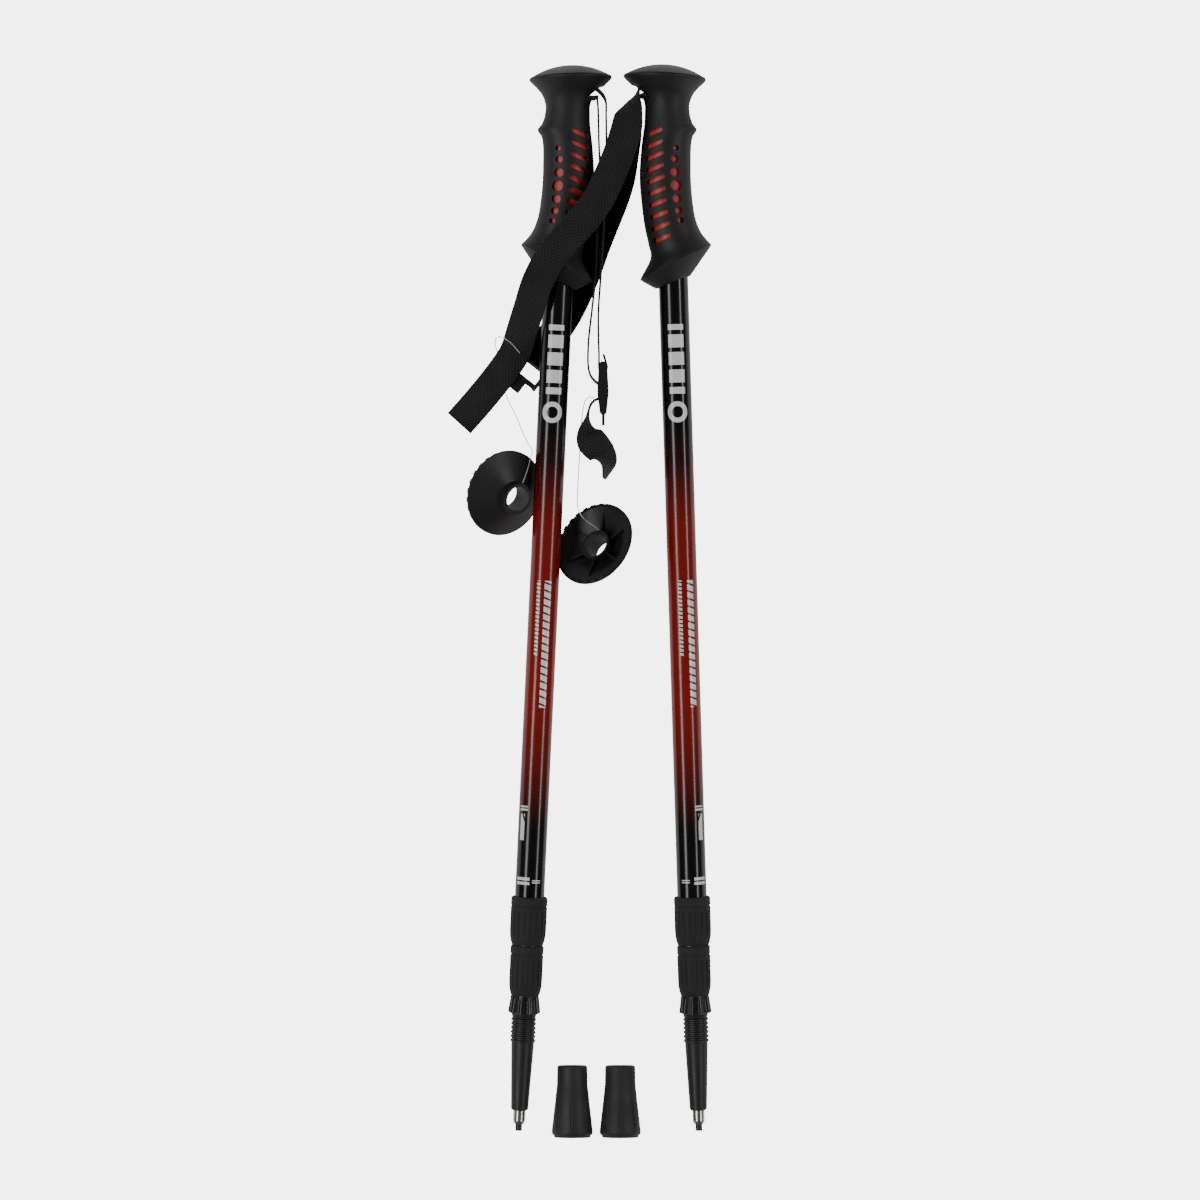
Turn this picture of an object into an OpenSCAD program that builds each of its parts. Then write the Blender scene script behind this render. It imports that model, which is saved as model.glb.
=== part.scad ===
// A pair of three-section trekking poles, collapsed and laid flat, grips towards +Y.
// Each pole is built upright on its own axis, with s = 0 at the tip and +X towards the
// fingers, and is then laid on the floor by place_pole().

/* [Pole] */
// Length from carbide tip to crown of the grip, all sections pushed in
pole_length = 649; // [620:1:760]
// Outer diameter of the upper tube
upper_d = 18; // [17:0.5:20]
// Step in diameter from one tube to the next
tube_step = 2; // [2:0.1:2.4]
// Wall of every tube
tube_wall = 0.7; // [0.6:0.05:0.8]

/* [Lower end] */
// Carbide tip standing out of the ferrule
carbide_len = 4.2; // [3:0.1:6]
// Steel ferrule between carbide and flex tip
ferrule_len = 8.5; // [6:0.1:12]
// Diameter of the ferrule where it leaves the flex tip
ferrule_d = 7.4; // [6:0.1:8]
// Smooth tapered part of the flex tip
taper_len = 41.3; // [35:0.1:50]
// Diameter of the flex tip at its lower end
taper_end_d = 10.6; // [9.8:0.1:11.5]
// Threaded part of the flex tip
thread_len = 18.2; // [14:0.1:22]
// Distance from one thread crest to the next
thread_pitch = 2.6; // [2:0.1:3.2]
// Height of the scalloped basket stop
stop_h = 10.3; // [8:0.1:13]
// Largest diameter of the basket stop
stop_d = 19.8; // [18.6:0.1:21]
// Length of the middle section's rubber collar
middle_collar_len = 30.7; // [26:0.1:36]
// Length of the upper section's rubber collar
upper_collar_len = 29.4; // [26:0.1:36]
// Rubber round a tube at the collar's thickest place
collar_wall = 2.1; // [1.8:0.05:2.4]
// Length of the plastic guide ring in each tube mouth
guide_len = 5.2; // [4:0.1:8]

/* [Locks] */
// Length of an expander sleeve
sleeve_len = 30; // [26:1:36]
// Crest diameter of the lock screws
lock_screw_d = 6; // [5:0.1:6.4]
// Advance of a lock cone in one turn of the screw
lock_pitch = 2; // [1:0.1:2.5]
// Free length of the anti-shock spring as fitted
spring_len = 20; // [18:1:26]
// Wire of the anti-shock spring
spring_wire = 1.6; // [1.2:0.1:1.8]
// Turns of the anti-shock spring
spring_turns = 5; // [4:1:6]
// Stroke of the anti-shock plunger
shock_stroke = 10; // [6:1:10]
// Rod of the anti-shock plunger
plunger_d = 7; // [6:0.1:7.4]

/* [Grip] */
// Height of the domed cap above the rim of the grip head
cap_rise = 7; // [5:0.5:9]
// Half width of the grip head, side to side
head_r = 24.5; // [22:0.5:27]
// Height of the strap slot in the head
slot_h = 9; // [8.8:0.1:9.6]
// Strap pin through the head
strap_pin_d = 4; // [3:0.1:4.4]
// Finger vents, smallest to largest hole
vent_d = [3.3, 4.6, 5.8, 6.8, 5.6, 4.5, 3.6];
// Width of a palm slot
palm_slot_w = 3.2; // [2.6:0.1:3.6]
// Length of a palm slot
palm_slot_len = 12.5; // [9:0.5:13]
// Number of palm slots
palm_slots = 10; // [6:1:10]

/* [Straps] */
// Width of the webbing
webbing_w = 19; // [17:0.5:20]
// Thickness of the webbing
webbing_t = 1.3; // [1:0.1:1.5]
// Room in the head's slot beside the webbing
slot_side_gap = 1; // [0.7:0.1:1.5]

/* [Baskets and rubber tips] */
// Diameter of a mud basket
basket_d = 53; // [48:1:60]
// Depth of the basket dish from rim to hub
dish_h = 8.6; // [7:0.1:11]
// Outer diameter of the basket hub
hub_d = 19; // [18.4:0.1:20]
// Height of the hub's lower end over the rim
hub_low = 0.6; // [0.4:0.1:4]
// Height of the hub's top over the rim
hub_top = 15; // [13:0.5:17]
// Ribs under the dish
basket_ribs = 6; // [4:1:10]
// Teeth round the rim
basket_teeth = 28; // [16:2:40]
// Length of a rubber tip
rubber_len = 43.7; // [40:0.1:50]
// Diameter of the rubber tip at its foot
rubber_foot_d = 25; // [23:0.5:28]
// Diameter of the rubber tip at its mouth
rubber_mouth_d = 18.4; // [17.6:0.1:20]
// Bore of the rubber tip's mouth
rubber_bore_d = 13; // [12.6:0.1:13.6]

/* [Fits] */
// Radial clearance of pieces that run or slide on each other
run_gap = 0.06; // [0.03:0.01:0.1]
// Radial clearance of pieces that are glued or pressed
glue_gap = 0.02; // [0.01:0.01:0.05]
// Gap between pieces of different sections that only meet
stop_gap = 0.3; // [0.2:0.05:0.5]

/* [Hidden] */
$fn = 64;
SIDES = ["left", "right"];
POLE_NODES = ["grip", "grip_core", "grip_cap", "strap_pin", "strap", "buckle", "upper_tube",
    "upper_guide", "upper_collar", "middle_tube", "middle_guide", "middle_collar", "shock_plug",
    "shock_spring", "shock_plunger", "upper_lock_sleeve", "upper_lock_cone", "lower_tube",
    "lower_lock_screw", "lower_lock_sleeve", "lower_lock_cone", "flex_tip", "basket_stop",
    "ferrule", "carbide_tip", "basket", "rubber_tip", "tip_washer", "tie"];

// Tube diameters
middle_d = upper_d - tube_step;
lower_d = middle_d - tube_step;
upper_in = upper_d - 2 * tube_wall;
middle_in = middle_d - 2 * tube_wall;
lower_in = lower_d - 2 * tube_wall;
thread_d = lower_d + 1.4;

// Heights along the axis, from the tip up
ferrule_s = carbide_len;
taper_s = ferrule_s + ferrule_len;
thread_s = taper_s + taper_len;
stop_s = thread_s + thread_len;
lower_tube_s = stop_s + stop_h;
middle_collar_s = lower_tube_s + stop_gap;
middle_guide_s = middle_collar_s + 2;
middle_tube_s = middle_guide_s + guide_len;
upper_collar_s = middle_collar_s + middle_collar_len + stop_gap;
upper_guide_s = upper_collar_s + 2;
upper_tube_s = upper_guide_s + guide_len;

// Heights set from the top down
rim_s = pole_length - cap_rise - 0.5;
upper_tube_top = rim_s - 27.5;
upper_sleeve_top = upper_tube_top - 11;
upper_sleeve_s = upper_sleeve_top - sleeve_len;
flange_t = 3;
plug_flange_t = 1.5;
plunger_flange_s = upper_sleeve_s - stop_gap - flange_t;
plug_flange_s = plunger_flange_s - spring_len - plug_flange_t;
middle_tube_top = plug_flange_s;
plug_len = 12;
plunger_head_h = 4;
plunger_head_s = middle_tube_top - plug_len - stop_gap - plunger_head_h;
lower_sleeve_top = plunger_head_s - shock_stroke - 8;
lower_sleeve_s = lower_sleeve_top - sleeve_len;
lower_flange_s = lower_sleeve_s - stop_gap - flange_t;
lower_tube_top = lower_flange_s;

// Lock geometry shared by sleeve, cone and screw
cone_len = 13;
cone_lift = 2.5;
slit_w = 1.3;
slit_len = 20;
screw_top_over = 8;

// How a pole lies: it touches the floor with its basket stop and the side of its head
stop_low_s = stop_s + 0.6;
head_low_s = rim_s - 1;
lie_tilt = atan((head_r - stop_d / 2) / (head_low_s - stop_low_s));
tip_height = stop_d / 2 * cos(lie_tilt) - stop_low_s * sin(lie_tilt);
pole_yaw = [-2.72, 1.76];
// Moves the pair so that its box is centred on the origin
CENTRE = [0.2, 1.5, 0];
pole_roll = [180, 0];
// Places of the two tips
tip_x = [-37.3, 72.8];
tip_y = -323;
function tip_of(i) = [tip_x[i], tip_y, tip_height];

// A point of pole i, given in the pole's own frame, as it lies on the floor
function pole_point(i, p) =
    let (c = cos(pole_roll[i]), y1 = p[1] * c, x1 = p[0] * c,
         b = lie_tilt - 90,
         y2 = y1 * cos(b) - p[2] * sin(b), z2 = y1 * sin(b) + p[2] * cos(b),
         a = pole_yaw[i])
    tip_of(i) + [x1 * cos(a) - y2 * sin(a), x1 * sin(a) + y2 * cos(a), z2];

module place_pole(i) {
    translate(tip_of(i))
        rotate([0, 0, pole_yaw[i]])
            rotate([lie_tilt - 90, 0, 0])
                rotate([0, 0, pole_roll[i]])
                    children();
}

// ---------------------------------------------------------------- helpers

// A straight ring or, with no bore, a disc
module ring(d, bore, s, len) {
    translate([0, 0, s])
        difference() {
            cylinder(d = d, h = len);
            if (bore > 0) translate([0, 0, -1]) cylinder(d = bore, h = len + 2);
        }
}

// A closed body through a list of rings, each with the same number of points
module loft(rings) {
    n = len(rings[0]);
    m = len(rings);
    pts = [for (r = rings) for (p = r) p];
    sides = [for (j = [0 : m - 2]) for (k = [0 : n - 1])
        for (f = [[j * n + k, (j + 1) * n + k, j * n + (k + 1) % n],
                  [j * n + (k + 1) % n, (j + 1) * n + k, (j + 1) * n + (k + 1) % n]]) f];
    ends = [[for (k = [0 : n - 1]) k], [for (k = [n - 1 : -1 : 0]) (m - 1) * n + k]];
    polyhedron(points = pts, faces = concat(sides, ends), convexity = 8);
}

function unit(v) = v / norm(v);
// Smooth curve through the listed points or stations, with n steps in each span
function smooth(pts, n) =
    let (m = len(pts))
    concat([for (i = [0 : m - 2]) for (j = [0 : n - 1])
        let (a = pts[max(i - 1, 0)], b = pts[i], c = pts[i + 1], d = pts[min(i + 2, m - 1)], t = j / n)
        0.5 * (2 * b + (c - a) * t + (2 * a - 5 * b + 4 * c - d) * t * t
               + (3 * b - a - 3 * c + d) * t * t * t)], [pts[m - 1]]);
function tangent(p, i) = unit(p[min(i + 1, len(p) - 1)] - p[max(i - 1, 0)]);
function xyz(p) = [p[0], p[1], p[2]];

// Flat webbing along stations [x, y, z, lean]: lean 0 stands on edge, 90 lies flat
function web_ring(path, i, w, t) =
    let (c = [for (q = path) xyz(q)], d = tangent(c, i), flat = unit(cross(d, [0, 0, 1])),
         lean = path[i][3], up = cos(lean) * [0, 0, 1] + sin(lean) * flat,
         across = unit(up - (up * d) * d), thick = cross(d, across))
    [for (k = [[-1, -1], [1, -1], [1, 1], [-1, 1]])
        c[i] + k[0] * w / 2 * across + k[1] * t / 2 * thick];
module webbing(stations, steps) {
    path = smooth(stations, steps);
    loft([for (i = [0 : len(path) - 1]) web_ring(path, i, webbing_w, webbing_t)]);
}

// A round thread or wire along points, as a tube with eight sides
function tube_ring(c, i, d) =
    let (t = tangent(c, i), ref = abs(t[2]) < 0.9 ? [0, 0, 1] : [1, 0, 0],
         u = unit(cross(t, ref)), v = cross(t, u))
    [for (k = [0 : 7]) c[i] + d / 2 * (cos(45 * k) * u + sin(45 * k) * v)];
module wire(points, d) {
    loft([for (i = [0 : len(points) - 1]) tube_ring(points, i, d)]);
}

// ---------------------------------------------------------------- grip

// Stations of the grip's skin: front reach, front drop, back reach, back drop, half width.
// Drops are measured down from the rim of the head.
GRIP = [
    [23, 2, 26, -2, head_r - 0.5], [23.2, 3.8, 26.2, 0, head_r - 0.4], [19, 7.6, 21.5, 5, 20.2],
    [15.2, 12, 16.8, 10, 16.2], [13, 18, 14.3, 16, 13.8], [13.2, 24, 14.3, 22, 13.5],
    [14.6, 29, 14.8, 29, 13.6], [17, 33, 15.8, 35, 13.8], [14.5, 37, 16.6, 40, 13.9],
    [13.3, 43, 17.4, 46, 14], [12.8, 53, 18.3, 55, 14.2], [12.6, 64, 18.6, 65, 14.4],
    [13.2, 76, 17.9, 77, 14.5], [14.5, 86, 16.6, 90, 14.7], [17.2, 94, 14.6, 101, 15.2],
    [20.8, 99.3, 13.5, 110, 16.8], [23.4, 102.4, 19.6, 121.4, 19.6],
    [22.8, 104.4, 19, 123.6, 19], [10.6, 121, 10.8, 128.4, 10.8]];
// Stations of the inner core, in the same terms
CORE = [
    [13.6, 2.2, 13.6, 1.8, 13.6], [13.2, 8, 13.2, 8, 13.2], [10.9, 15, 11.8, 15, 11.4],
    [10.9, 24, 11.9, 24, 11.2], [12, 33, 13.3, 34, 11.4], [11, 44, 14.9, 46, 11.6],
    [10.3, 64, 16.2, 65, 12], [10.9, 77, 15.5, 77, 12.1], [11.9, 90, 13.6, 90, 12.3],
    [11.4, 104, 11.4, 104, 11.4], [10.7, 117, 10.7, 117, 10.7]];
grip_sides = 28;
slot_drop = 9;
pin_x = -7;
pin_len = 26;
slot_w = webbing_w + 2 * slot_side_gap;

function grip_ring(q) =
    let (cx = (q[0] - q[2]) / 2, rx = (q[0] + q[2]) / 2, hm = (q[1] + q[3]) / 2, hd = (q[1] - q[3]) / 2)
    [for (k = [0 : grip_sides - 1])
        let (a = 360 * k / grip_sides) [cx + rx * cos(a), q[4] * sin(a), rim_s - hm - hd * cos(a)]];
module grip_body(stations, steps) {
    path = smooth(stations, steps);
    loft([for (i = [len(path) - 1 : -1 : 0]) grip_ring(path[i])]);
}
module strap_slot() {
    translate([-30, -slot_w / 2, rim_s - slot_drop - slot_h / 2]) cube([30 + pin_x + 3, slot_w, slot_h]);
    translate([pin_x + 3, 0, rim_s - slot_drop])
        rotate([90, 0, 0]) cylinder(d = slot_h, h = slot_w, center = true);
}
module strap_pin_shape(d, len) {
    translate([pin_x, 0, rim_s - slot_drop]) rotate([90, 0, 0]) cylinder(d = d, h = len, center = true);
}
// Seven round vents in a shallow bow on each side, over the fingers
module finger_vents() {
    drop = [44.5, 51, 59, 67, 75, 82.2, 88.2];
    reach = [3.9, 3, 2.7, 3.2, 3.6, 4.2, 5.4];
    for (k = [0 : len(vent_d) - 1])
        translate([reach[k], 0, rim_s - drop[k]])
            rotate([90, 0, 0]) cylinder(d = vent_d[k], h = 40, center = true);
}
// A ladder of slanting slots on each side, towards the palm
module palm_slot_row() {
    half = (palm_slot_len - palm_slot_w) / 2;
    for (k = [0 : palm_slots - 1])
        translate([-9.6 + 0.04 * k * k, 0, rim_s - 34.5 - 7.1 * k])
            rotate([90, 0, 0]) rotate([0, 0, 20]) {
                cube([2 * half, palm_slot_w, 40], center = true);
                for (e = [-half, half]) translate([e, 0, 0]) cylinder(d = palm_slot_w, h = 40, center = true);
            }
}
module grip() {
    color("#1c1c1d") difference() {
        grip_body(GRIP, 2);
        grip_body(CORE, 2);
        translate([0, 0, rim_s - 140]) cylinder(d = upper_d + 2 * glue_gap, h = 100);
        strap_slot();
        strap_pin_shape(strap_pin_d, pin_len);
        finger_vents();
        palm_slot_row();
    }
}
module grip_core() {
    color("#b3221c") difference() {
        grip_body(CORE, 2);
        translate([0, 0, rim_s - 140]) cylinder(d = upper_d + 2 * glue_gap, h = 140 - 27.5 + stop_gap);
        strap_slot();
        strap_pin_shape(strap_pin_d, pin_len);
    }
}
// A shallow dome on the sloping top of the head
module grip_cap() {
    cap_r = head_r - 0.3;
    dome_r = (cap_r * cap_r + cap_rise * cap_rise) / (2 * cap_rise);
    slope = atan(4 / 49);
    color("#202021") translate([-1.5, 0, rim_s]) rotate([0, slope, 0])
        rotate_extrude() intersection() {
            translate([0, cap_rise - dome_r]) circle(r = dome_r, $fn = 128);
            square([cap_r, cap_rise + 1]);
        }
}
module strap_pin() {
    color("silver") strap_pin_shape(strap_pin_d, pin_len);
}

// ---------------------------------------------------------------- tubes and collars

module tube(d, s, top) {
    ring(d, d - 2 * tube_wall, s, top - s);
}
module upper_tube() {
    color("#6b0d08") tube(upper_d, upper_tube_s, upper_tube_top);
}
module middle_tube() {
    color("silver") tube(middle_d, middle_tube_s, middle_tube_top);
}
module lower_tube() {
    color("silver") tube(lower_d, lower_tube_s, lower_tube_top);
}
module guide_ring(d, passing_d, s) {
    color("dimgray") ring(d, passing_d + 2 * run_gap, s, guide_len);
}
// Rubber collar: smooth band, barrel with lengthwise flutes, lip over the passing tube
module collar(d, passing_d, s, len) {
    r = d / 2 + glue_gap;
    fat = d / 2 + collar_wall;
    color("#232324") translate([0, 0, s]) difference() {
        rotate_extrude() polygon([
            [passing_d / 2 + stop_gap, 0], [fat - 1.6, 0], [fat - 0.9, 2], [fat - 0.2, 5.5], [fat, 9],
            [fat, len - 6.4], [fat - 0.35, len - 6], [fat - 0.35, len - 5.4], [fat, len - 5],
            [fat, len - 0.8], [fat - 0.8, len], [r, len], [r, 2], [passing_d / 2 + stop_gap, 2]]);
        for (k = [0 : 17]) rotate([0, 0, 20 * k])
            translate([fat + 0.35, 0, 2.6]) cylinder(r = 0.9, h = len - 11, $fn = 24);
    }
}

// ---------------------------------------------------------------- locks and anti-shock

// Shape of a lock cone for a tube of the given bore, as seen in half section
function cone_low(bore) = bore / 2 - 3.6;
function cone_high(bore) = bore / 2 - 2;
module lock_sleeve(bore, s) {
    r = bore / 2 - run_gap;
    lo = cone_low(bore) + run_gap;
    hi = cone_high(bore) + run_gap;
    screw_r = lock_screw_d / 2 + 0.35;
    color("#d8d4c8") translate([0, 0, s]) difference() {
        rotate_extrude() polygon([
            [screw_r, 0], [r - 0.8, 0], [r, 0.8], [r, sleeve_len - 0.6], [r - 0.6, sleeve_len],
            [hi, sleeve_len], [lo, sleeve_len - cone_len], [lo, 6], [screw_r, 6]]);
        for (k = [0 : 2]) rotate([0, 0, 120 * k])
            translate([0, -slit_w / 2, sleeve_len - slit_len]) cube([bore, slit_w, slit_len + 1]);
    }
}
// Threaded cone with three ribs that run in the sleeve's slits
module lock_cone(bore, s) {
    rib_w = slit_w - 2 * run_gap;
    lo = cone_low(bore);
    hi = cone_high(bore);
    color("#b99a4a") translate([0, 0, s + sleeve_len - cone_len]) difference() {
        union() {
            rotate_extrude() polygon([[0, 0], [lo, 0], [hi, cone_len], [0, cone_len]]);
            for (k = [0 : 2]) rotate([0, 0, 120 * k])
                translate([0, -rib_w / 2, 2]) cube([bore / 2 - 0.9, rib_w, cone_len - 3]);
        }
        translate([0, 0, -1]) cylinder(d = lock_screw_d + 2 * run_gap, h = cone_len + 2);
    }
}
// Screw with ring-shaped thread crests from height a to b, then a plain neck and a stop nut
module lock_screw(a, b) {
    root = lock_screw_d / 2 - 0.5;
    turns = floor((b - a - 1) / lock_pitch);
    rotate_extrude() polygon(concat([[0, a], [root, a]],
        [for (k = [0 : turns - 1]) for (p = [[0, 0.2], [0.5, 0.8], [0.5, 1.2], [0, 1.8]])
            [root + p[0], a + (k + p[1] / 2) * lock_pitch]],
        [[root, b], [0, b]]));
    translate([0, 0, b]) cylinder(d = lock_screw_d + 2.4, h = screw_top_over - cone_lift - 2, $fn = 6);
}
// Plunger: head below the plug, rod through it, flange on the spring, lock screw above
module shock_plunger() {
    color("#3a3a3c") {
        ring(plunger_d + 4, 0, plunger_head_s, plunger_head_h);
        ring(plunger_d, 0, plunger_head_s + plunger_head_h - 0.5, plunger_flange_s - plunger_head_s - plunger_head_h + 1);
        ring(middle_d - 0.6, 0, plunger_flange_s, flange_t);
        lock_screw(plunger_flange_s + flange_t - 0.2, upper_sleeve_top + cone_lift);
    }
}
module shock_plug() {
    bore = plunger_d + 2 * run_gap;
    color("#3a3a3c") {
        ring(middle_in - 2 * glue_gap, bore, middle_tube_top - plug_len, plug_len);
        ring(middle_d, bore, plug_flange_s, plug_flange_t);
    }
}
module shock_spring() {
    low = plug_flange_s + plug_flange_t + spring_wire / 2 + 0.1;
    rise = plunger_flange_s - spring_wire / 2 - 0.1 - low;
    coil_r = (plunger_d + middle_d) / 4 + 0.3;
    steps = 18 * spring_turns;
    color("silver") wire([for (k = [0 : steps])
        let (a = 360 * spring_turns * k / steps) [coil_r * cos(a), coil_r * sin(a), low + rise * k / steps]],
        spring_wire);
}
module lower_lock_screw() {
    color("silver") {
        ring(lower_in - 2 * glue_gap, 0, lower_tube_top - 18, 18.5);
        ring(lower_d, 0, lower_flange_s, flange_t);
        lock_screw(lower_flange_s + flange_t - 0.2, lower_sleeve_top + cone_lift);
    }
}

// ---------------------------------------------------------------- tip

module flex_tip() {
    root = thread_d / 2 - 0.7;
    turns = floor((thread_len - 2) / thread_pitch);
    spigot = 22;
    color("#262627") difference() {
        union() {
            rotate_extrude() polygon(concat(
                [[0, taper_s], [taper_end_d / 2 - 0.6, taper_s], [taper_end_d / 2, taper_s + 0.8],
                 [root, thread_s]],
                [for (k = [0 : turns - 1]) for (p = [[0, 0.1], [0.7, 0.35], [0.7, 0.6], [0, 0.85]])
                    [root + p[0], thread_s + (k + p[1]) * thread_pitch]],
                [[thread_d / 2, stop_s - 0.6], [thread_d / 2, lower_tube_s], [0, lower_tube_s]]));
            ring(lower_in - 2 * glue_gap, 0, lower_tube_s - 1, spigot + 1);
        }
        translate([0, 0, taper_s - 1]) cylinder(d = ferrule_d - 1, h = 13);
    }
}
// Scalloped skirt that flares towards the tip and stops the basket
module basket_stop() {
    low_r = stop_d / 2;
    top_r = thread_d / 2 + 0.9;
    color("#2c2c2d") difference() {
        translate([0, 0, stop_s]) rotate_extrude() polygon([
            [thread_d / 2 + glue_gap, 0], [low_r - 0.5, 0], [low_r, 0.6], [top_r, stop_h], [thread_d / 2 + glue_gap, stop_h]]);
        for (k = [0 : 11]) rotate([0, 0, 30 * k + 15])
            translate([low_r + 1.1, 0, stop_s - 1]) rotate([0, -9, 0]) cylinder(r = 1.9, h = stop_h + 2, $fn = 24);
    }
}
module ferrule() {
    color("#c9c8c2") {
        ring(ferrule_d - 1 - 2 * glue_gap, 3, taper_s, 11.5);
        translate([0, 0, ferrule_s]) difference() {
            rotate_extrude() polygon([[0, 0], [ferrule_d / 2 - 0.7, 0], [ferrule_d / 2 - 0.1, 1.6],
                [ferrule_d / 2, 2], [ferrule_d / 2, ferrule_len], [0, ferrule_len]]);
            translate([0, 0, -1]) cylinder(d = 4.2 + 2 * glue_gap, h = 8);
            translate([0, 0, 6]) cylinder(d = 3, h = 4);
        }
    }
}
// Carbide insert with a hollow-ground end that leaves a sharp ring
module carbide_tip() {
    color("#6d6d70") difference() {
        cylinder(d = 4.2, h = carbide_len + 6.8);
        translate([0, 0, -2.2]) sphere(r = 3, $fn = 48);
    }
}

// ---------------------------------------------------------------- basket, rubber tip

// Shallow dish, rim at z = 0, hub standing up on the smooth side, teeth and ribs below
module basket() {
    r = basket_d / 2;
    wall = 1.6;
    hub_r = hub_d / 2;
    bore_r = thread_d / 2 + 0.1;
    foot = 2.2;
    color("#2a2a2b") {
        rotate_extrude() polygon([[bore_r, hub_low], [hub_r, hub_low], [hub_r, dish_h - wall],
            [r - 1.9, -0.8], [r, -0.8], [r, 0.4], [hub_r, dish_h + 0.4], [hub_r, hub_top], [bore_r, hub_top]]);
        for (k = [0 : basket_ribs - 1]) rotate([0, 0, 360 / basket_ribs * k])
            translate([0, 0.7, 0]) rotate([90, 0, 0]) linear_extrude(1.4) polygon([
                [hub_r - 0.4, dish_h - 1], [r - 4, 1], [r - 8, 1], [hub_r - 0.4, 2.6]]);
        for (k = [0 : basket_teeth - 1]) rotate([0, 0, 360 / basket_teeth * (k + 0.5)])
            translate([r - 1.5, -1.5, -foot]) cube([1.1, 3, foot - 0.2]);
    }
}
// Tapered rubber tip, foot at z = 0, mouth up
module rubber_tip() {
    foot_r = rubber_foot_d / 2;
    mouth_r = rubber_mouth_d / 2;
    color("#29292a") difference() {
        rotate_extrude() polygon([[0, 0], [foot_r - 1.6, 0], [foot_r - 1.2, 1.4], [foot_r - 0.4, 1.8],
            [foot_r, 2.8], [foot_r, rubber_flank], [mouth_r + 0.2, rubber_len - 12], [mouth_r, rubber_len - 1],
            [mouth_r - 0.8, rubber_len], [0, rubber_len]]);
        translate([0, 0, rubber_len - 16]) cylinder(d = rubber_bore_d, h = 17);
        translate([0, 0, 8]) cylinder(d = taper_end_d, h = rubber_len);
        for (k = [0 : 7]) rotate([0, 0, 45 * k])
            translate([foot_r + 0.1, 0, 6]) rotate([0, -6, 0]) cylinder(r = 1.1, h = 17, $fn = 24);
    }
}
module tip_washer() {
    color("silver") translate([0, 0, 8]) cylinder(d = taper_end_d - 2 * glue_gap, h = 1.2);
}
basket_tilt = [37.7, 41];
basket_turn = [-26, 143];
basket_at = [[-45.4, 65.6, 17.85], [9.2, 34.6, 17.7]];
module place_basket(i) {
    translate(basket_at[i]) rotate([0, 0, basket_turn[i]]) rotate([0, basket_tilt[i] + (i == 1 ? 180 : 0), 0])
        children();
}
rubber_x = [-4.5, 24.7];
rubber_foot_y = -326.6;
rubber_flank = 4.5;
rubber_lean = atan((rubber_foot_d - rubber_mouth_d) / 2 / (rubber_len - 1 - rubber_flank));
module place_rubber(i) {
    translate([rubber_x[i], rubber_foot_y,
        rubber_foot_d / 2 * cos(rubber_lean) + rubber_flank * sin(rubber_lean)])
        rotate([-90 - rubber_lean, 0, 0]) rotate([0, 0, 180]) children();
}

// ---------------------------------------------------------------- straps, buckles, ties

// The end of the webbing loop inside the head, as stations round the pin.
// near = +1 gives the strand on the cap side, -1 the one on the tip side.
pin_gap = 0.5;
turn_r = strap_pin_d / 2 + pin_gap + webbing_t / 2;
function head_station(i, x, near) = concat(pole_point(i, [x, 0, rim_s - slot_drop + near * turn_r]), [0]);
function head_run(i, near) = [for (x = [-16.5, -13, -9.5]) head_station(i, x, near)];
function pin_turn(i) = [for (a = [75, 38, 0, -38, -75])
    concat(pole_point(i, [pin_x + turn_r * cos(a), 0, rim_s - slot_drop + turn_r * sin(a)]), [0])];

// Left strap: both strands stand on edge beside the grip and meet at the buckle.
// LEFT_OUT runs from the head to the buckle's top bar, LEFT_BACK to its middle bar.
LEFT_OUT = [
    [15.5, 304.1, 24, 0], [16.1, 293.2, 23.2, 0], [16.3, 276.2, 22, 0], [16.1, 258.6, 20.5, 0],
    [15.2, 240.4, 17.5, 0], [14.3, 222.2, 14.5, 0], [13.1, 200.9, 13, 0], [11.5, 177.9, 12.6, 0],
    [11.5, 160.9, 12.5, 0], [11.8, 149.3, 12.5, 0]];
LEFT_BACK = [
    [10.7, 304.1, 24, 0], [11.4, 294.4, 23.2, 0], [11.8, 276.2, 22, 0], [12.6, 258.6, 20.5, 0],
    [11.7, 240.4, 17.5, 0], [10.6, 222.2, 14.5, 0], [10, 200.9, 13, 0], [7.6, 177.9, 12.6, 0],
    [5.2, 154.8, 12.5, 0], [6.4, 137.8, 12.5, 0]];
LEFT_TAIL = [
    [7.6, 120.8, 12.5, 0], [4.6, 111.7, 12, 5], [3.9, 103.8, 11, 35], [7.6, 97.1, 10.2, 80],
    [13.7, 90.4, 7, 60], [16.7, 82.6, 9.4, 25], [14.9, 74.7, 9.8, 5]];
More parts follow.
